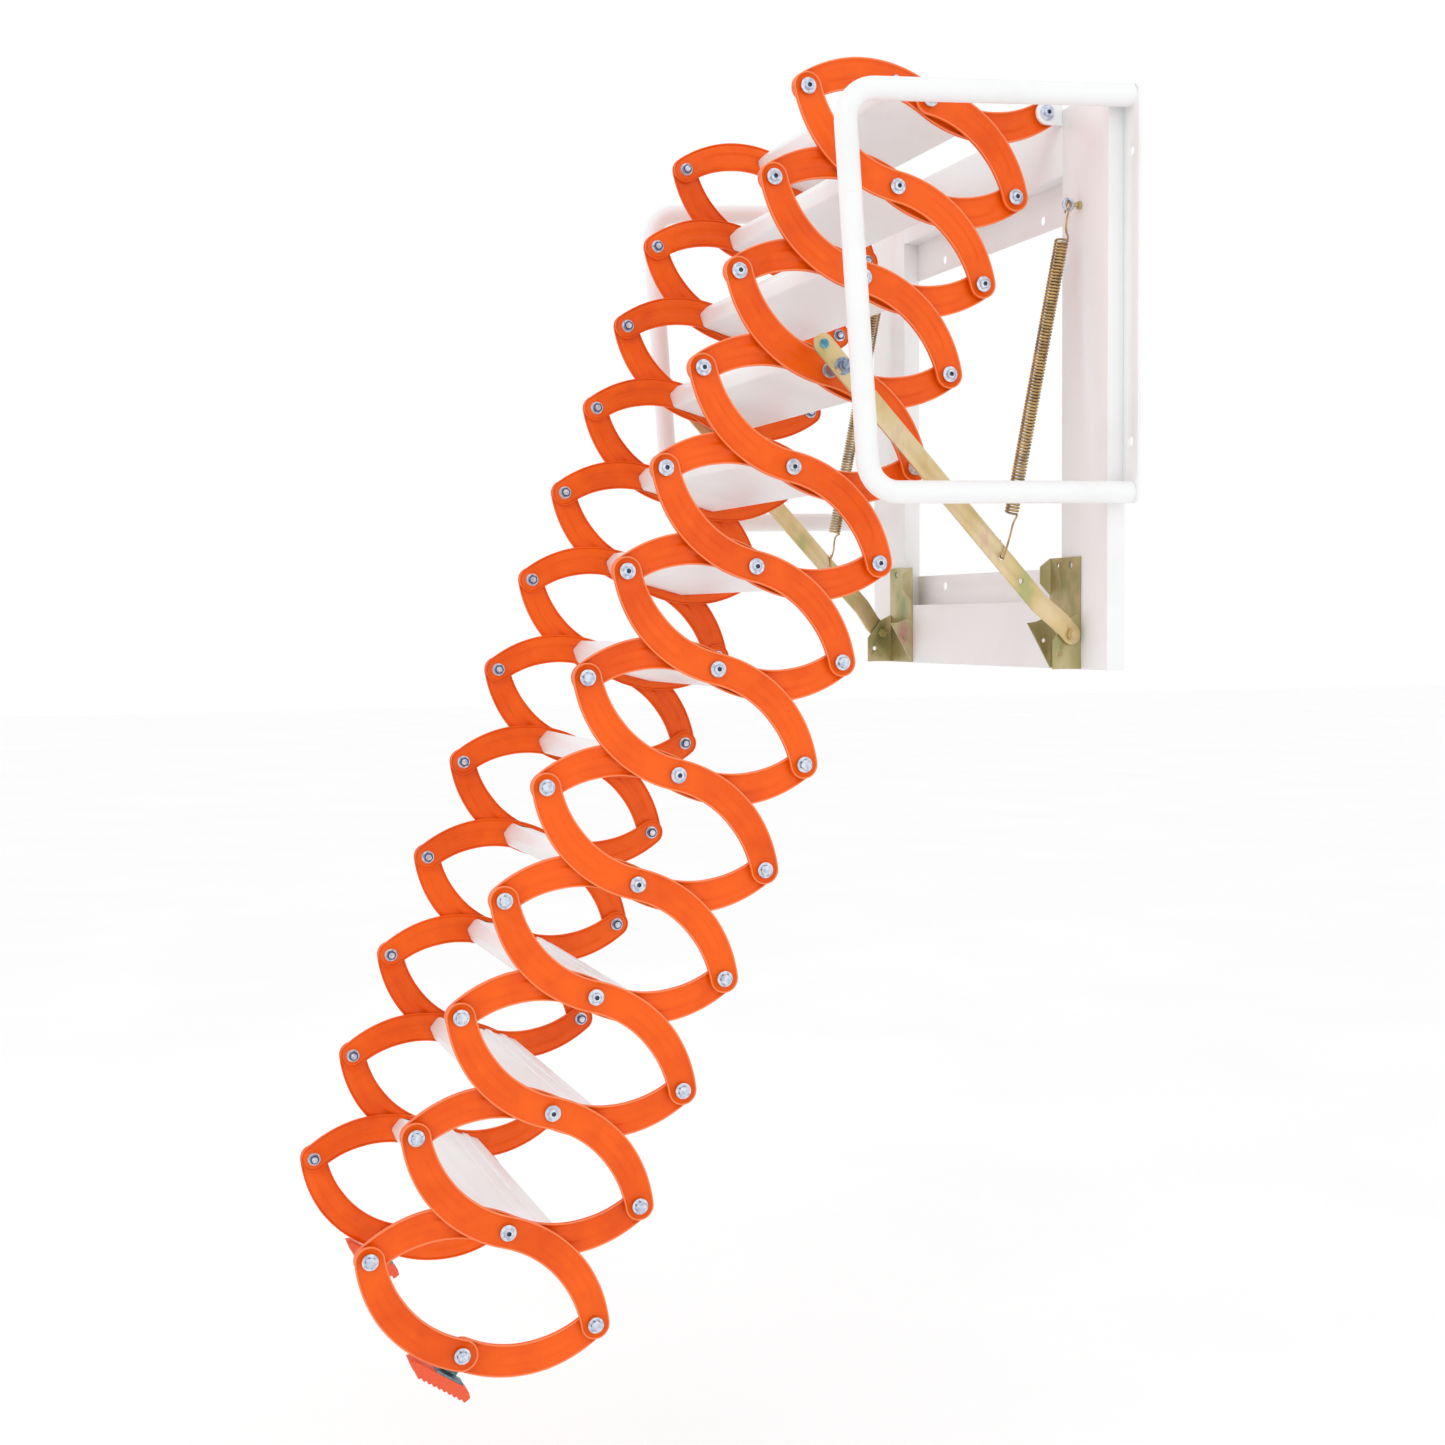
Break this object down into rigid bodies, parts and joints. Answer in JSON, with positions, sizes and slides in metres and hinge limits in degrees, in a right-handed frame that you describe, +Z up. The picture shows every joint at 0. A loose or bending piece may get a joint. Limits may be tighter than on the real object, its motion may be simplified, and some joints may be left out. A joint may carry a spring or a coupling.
{
  "type": "attic ladder",
  "caption": "Wall-mounted concertina ladder for an attic hatch: frame, scissor links, folded treads, spring levers, handrails and swivel feet.",
  "frame": {"origin": "middle of the hatch frame's four wall screws, on the face that lies on the wall", "axes": "+X across the ladder, +Y into the wall, +Z up; the ladder opens towards -Y"},
  "size_m": [0.843, 1.0388, 1.7626],
  "materials": {
    "white_paint": "satin white powder coat",
    "orange_paint": "glossy orange paint",
    "yellow_zinc": "yellow passivated zinc",
    "bolt_steel": "bright zinc plate",
    "spring_steel": "oiled spring wire",
    "rubber": "moulded orange rubber"
  },
  "bodies": {
    "wall_frame": {"frame_jambs": "white_paint", "frame_rails": "white_paint", "hanger_brackets": "white_paint", "lever_brackets": "yellow_zinc", "frame_fasteners": "yellow_zinc", "handrails": "white_paint"},
    "inner_stage_00": {"inner_links_00": "orange_paint", "pivot_bolts_00": "bolt_steel", "tread_00": "white_paint"},
    "outer_stage_00": {"outer_links_00": "orange_paint"},
    "inner_stage_01": {"inner_links_01": "orange_paint", "pivot_bolts_01": "bolt_steel", "tread_01": "white_paint"},
    "outer_stage_01": {"outer_links_01": "orange_paint"},
    "inner_stage_02": {"inner_links_02": "orange_paint", "pivot_bolts_02": "bolt_steel", "tread_02": "white_paint"},
    "outer_stage_02": {"outer_links_02": "orange_paint"},
    "inner_stage_03": {"inner_links_03": "orange_paint", "pivot_bolts_03": "bolt_steel", "tread_03": "white_paint"},
    "outer_stage_03": {"outer_links_03": "orange_paint"},
    "inner_stage_04": {"inner_links_04": "orange_paint", "pivot_bolts_04": "bolt_steel", "tread_04": "white_paint"},
    "outer_stage_04": {"outer_links_04": "orange_paint"},
    "inner_stage_05": {"inner_links_05": "orange_paint", "pivot_bolts_05": "bolt_steel", "tread_05": "white_paint"},
    "outer_stage_05": {"outer_links_05": "orange_paint"},
    "inner_stage_06": {"inner_links_06": "orange_paint", "pivot_bolts_06": "bolt_steel", "tread_06": "white_paint"},
    "outer_stage_06": {"outer_links_06": "orange_paint"},
    "inner_stage_07": {"inner_links_07": "orange_paint", "pivot_bolts_07": "bolt_steel", "tread_07": "white_paint"},
    "outer_stage_07": {"outer_links_07": "orange_paint"},
    "inner_stage_08": {"inner_links_08": "orange_paint", "pivot_bolts_08": "bolt_steel", "tread_08": "white_paint"},
    "outer_stage_08": {"outer_links_08": "orange_paint"},
    "inner_stage_09": {"inner_links_09": "orange_paint", "pivot_bolts_09": "bolt_steel", "tread_09": "white_paint"},
    "outer_stage_09": {"outer_links_09": "orange_paint"},
    "inner_stage_10": {"inner_links_10": "orange_paint", "pivot_bolts_10": "bolt_steel", "tread_10": "white_paint"},
    "outer_stage_10": {"outer_links_10": "orange_paint"},
    "inner_stage_11": {"inner_links_11": "orange_paint", "pivot_bolts_11": "bolt_steel", "tread_11": "white_paint"},
    "outer_stage_11": {"outer_links_11": "orange_paint"},
    "inner_stage_12": {"inner_links_12": "orange_paint", "pivot_bolts_12": "bolt_steel"},
    "outer_stage_12": {"outer_links_12": "orange_paint"},
    "levers": {"lever_arms": "yellow_zinc"},
    "spring_pair": {"springs": "spring_steel"},
    "foot_pair": {"feet": "rubber"}
  },
  "joints": [
    {"name": "hanger_swing", "type": "hinge", "parent": "wall_frame", "child": "inner_stage_00", "pos_m": [0, -0.051, 0.389], "axis": [1, 0, 0], "range_deg": [0, 13.05]},
    {"name": "outer_00_middle_pivot", "type": "hinge", "parent": "inner_stage_00", "child": "outer_stage_00", "pos_m": [0, -0.23095, 0.3933], "axis": [1, 0, 0], "range_deg": [0, 18.87]},
    {"name": "outer_01_room_pivot", "type": "hinge", "parent": "inner_stage_00", "child": "outer_stage_01", "pos_m": [0, -0.41093, 0.39582], "axis": [1, 0, 0], "range_deg": [0, 18.87]},
    {"name": "inner_01_middle_pivot", "type": "hinge", "parent": "outer_stage_01", "child": "inner_stage_01", "pos_m": [0, -0.28015, 0.27214], "axis": [1, 0, 0], "range_deg": [-18.87, 0]},
    {"name": "inner_02_wall_pivot", "type": "hinge", "parent": "outer_stage_01", "child": "inner_stage_02", "pos_m": [0, -0.1506, 0.14717], "axis": [1, 0, 0], "range_deg": [-18.87, 0]},
    {"name": "outer_02_middle_pivot", "type": "hinge", "parent": "inner_stage_02", "child": "outer_stage_02", "pos_m": [0, -0.3306, 0.14789], "axis": [1, 0, 0], "range_deg": [0, 18.87]},
    {"name": "outer_03_room_pivot", "type": "hinge", "parent": "inner_stage_02", "child": "outer_stage_03", "pos_m": [0, -0.5106, 0.14683], "axis": [1, 0, 0], "range_deg": [0, 18.87]},
    {"name": "inner_03_middle_pivot", "type": "hinge", "parent": "outer_stage_03", "child": "inner_stage_03", "pos_m": [0, -0.3823, 0.02057], "axis": [1, 0, 0], "range_deg": [-18.87, 0]},
    {"name": "inner_04_wall_pivot", "type": "hinge", "parent": "outer_stage_03", "child": "inner_stage_04", "pos_m": [0, -0.25527, -0.10695], "axis": [1, 0, 0], "range_deg": [-18.87, 0]},
    {"name": "outer_04_middle_pivot", "type": "hinge", "parent": "inner_stage_04", "child": "outer_stage_04", "pos_m": [0, -0.43524, -0.10981], "axis": [1, 0, 0], "range_deg": [0, 18.87]},
    {"name": "outer_05_room_pivot", "type": "hinge", "parent": "inner_stage_04", "child": "outer_stage_05", "pos_m": [0, -0.61518, -0.11446], "axis": [1, 0, 0], "range_deg": [0, 18.87]},
    {"name": "inner_05_middle_pivot", "type": "hinge", "parent": "outer_stage_05", "child": "inner_stage_05", "pos_m": [0, -0.48942, -0.24324], "axis": [1, 0, 0], "range_deg": [-18.87, 0]},
    {"name": "inner_06_wall_pivot", "type": "hinge", "parent": "outer_stage_05", "child": "inner_stage_06", "pos_m": [0, -0.36495, -0.37327], "axis": [1, 0, 0], "range_deg": [-18.87, 0]},
    {"name": "outer_06_middle_pivot", "type": "hinge", "parent": "inner_stage_06", "child": "outer_stage_06", "pos_m": [0, -0.54483, -0.37971], "axis": [1, 0, 0], "range_deg": [0, 18.87]},
    {"name": "outer_07_room_pivot", "type": "hinge", "parent": "inner_stage_06", "child": "outer_stage_07", "pos_m": [0, -0.72465, -0.38793], "axis": [1, 0, 0], "range_deg": [0, 18.87]},
    {"name": "inner_07_middle_pivot", "type": "hinge", "parent": "outer_stage_07", "child": "inner_stage_07", "pos_m": [0, -0.60147, -0.51919], "axis": [1, 0, 0], "range_deg": [-18.87, 0]},
    {"name": "inner_08_wall_pivot", "type": "hinge", "parent": "outer_stage_07", "child": "inner_stage_08", "pos_m": [0, -0.47961, -0.65167], "axis": [1, 0, 0], "range_deg": [-18.87, 0]},
    {"name": "outer_08_middle_pivot", "type": "hinge", "parent": "inner_stage_08", "child": "outer_stage_08", "pos_m": [0, -0.65933, -0.66168], "axis": [1, 0, 0], "range_deg": [0, 18.87]},
    {"name": "outer_09_room_pivot", "type": "hinge", "parent": "inner_stage_08", "child": "outer_stage_09", "pos_m": [0, -0.83895, -0.67349], "axis": [1, 0, 0], "range_deg": [0, 18.87]},
    {"name": "inner_09_middle_pivot", "type": "hinge", "parent": "outer_stage_09", "child": "inner_stage_09", "pos_m": [0, -0.71841, -0.80717], "axis": [1, 0, 0], "range_deg": [-18.87, 0]},
    {"name": "inner_10_wall_pivot", "type": "hinge", "parent": "outer_stage_09", "child": "inner_stage_10", "pos_m": [0, -0.59921, -0.94204], "axis": [1, 0, 0], "range_deg": [-18.87, 0]},
    {"name": "outer_10_middle_pivot", "type": "hinge", "parent": "inner_stage_10", "child": "outer_stage_10", "pos_m": [0, -0.7787, -0.95563], "axis": [1, 0, 0], "range_deg": [0, 18.87]},
    {"name": "outer_11_room_pivot", "type": "hinge", "parent": "inner_stage_10", "child": "outer_stage_11", "pos_m": [0, -0.95804, -0.97101], "axis": [1, 0, 0], "range_deg": [0, 18.87]},
    {"name": "inner_11_middle_pivot", "type": "hinge", "parent": "outer_stage_11", "child": "inner_stage_11", "pos_m": [0, -0.84018, -1.10706], "axis": [1, 0, 0], "range_deg": [-18.87, 0]},
    {"name": "inner_12_wall_pivot", "type": "hinge", "parent": "outer_stage_11", "child": "inner_stage_12", "pos_m": [0, -0.72369, -1.24428], "axis": [1, 0, 0], "range_deg": [-18.87, 0]},
    {"name": "outer_12_middle_pivot", "type": "hinge", "parent": "inner_stage_12", "child": "outer_stage_12", "pos_m": [0, -0.90287, -1.26144], "axis": [1, 0, 0], "range_deg": [0, 18.87]},
    {"name": "lever_swing", "type": "hinge", "parent": "wall_frame", "child": "levers", "pos_m": [0, -0.046, -0.338], "axis": [1, 0, 0], "range_deg": [-21.76, 0]},
    {"name": "spring_swing", "type": "hinge", "parent": "wall_frame", "child": "spring_pair", "pos_m": [0, -0.046, 0.253], "axis": [1, 0, 0], "range_deg": [0, 5.01], "deforming": ["springs"]},
    {"name": "foot_swivel", "type": "hinge", "parent": "outer_stage_12", "child": "foot_pair", "pos_m": [0, -0.90287, -1.26144], "axis": [1, 0, 0], "range_deg": [-1.5, 8]}
  ],
  "couplings": [
    {"joint": "outer_00_middle_pivot", "follows": "hanger_swing", "ratio": 1.4422},
    {"joint": "outer_01_room_pivot", "follows": "hanger_swing", "ratio": 1.4422},
    {"joint": "inner_01_middle_pivot", "follows": "hanger_swing", "ratio": -1.4422},
    {"joint": "inner_02_wall_pivot", "follows": "hanger_swing", "ratio": -1.4422},
    {"joint": "outer_02_middle_pivot", "follows": "hanger_swing", "ratio": 1.4422},
    {"joint": "outer_03_room_pivot", "follows": "hanger_swing", "ratio": 1.4422},
    {"joint": "inner_03_middle_pivot", "follows": "hanger_swing", "ratio": -1.4422},
    {"joint": "inner_04_wall_pivot", "follows": "hanger_swing", "ratio": -1.4422},
    {"joint": "outer_04_middle_pivot", "follows": "hanger_swing", "ratio": 1.4422},
    {"joint": "outer_05_room_pivot", "follows": "hanger_swing", "ratio": 1.4422},
    {"joint": "inner_05_middle_pivot", "follows": "hanger_swing", "ratio": -1.4422},
    {"joint": "inner_06_wall_pivot", "follows": "hanger_swing", "ratio": -1.4422},
    {"joint": "outer_06_middle_pivot", "follows": "hanger_swing", "ratio": 1.4422},
    {"joint": "outer_07_room_pivot", "follows": "hanger_swing", "ratio": 1.4422},
    {"joint": "inner_07_middle_pivot", "follows": "hanger_swing", "ratio": -1.4422},
    {"joint": "inner_08_wall_pivot", "follows": "hanger_swing", "ratio": -1.4422},
    {"joint": "outer_08_middle_pivot", "follows": "hanger_swing", "ratio": 1.4422},
    {"joint": "outer_09_room_pivot", "follows": "hanger_swing", "ratio": 1.4422},
    {"joint": "inner_09_middle_pivot", "follows": "hanger_swing", "ratio": -1.4422},
    {"joint": "inner_10_wall_pivot", "follows": "hanger_swing", "ratio": -1.4422},
    {"joint": "outer_10_middle_pivot", "follows": "hanger_swing", "ratio": 1.4422},
    {"joint": "outer_11_room_pivot", "follows": "hanger_swing", "ratio": 1.4422},
    {"joint": "inner_11_middle_pivot", "follows": "hanger_swing", "ratio": -1.4422},
    {"joint": "inner_12_wall_pivot", "follows": "hanger_swing", "ratio": -1.4422},
    {"joint": "outer_12_middle_pivot", "follows": "hanger_swing", "ratio": 1.4422},
    {"joint": "lever_swing", "follows": "hanger_swing", "ratio": -1.6637},
    {"joint": "spring_swing", "follows": "hanger_swing", "ratio": 0.37979}
  ]
}
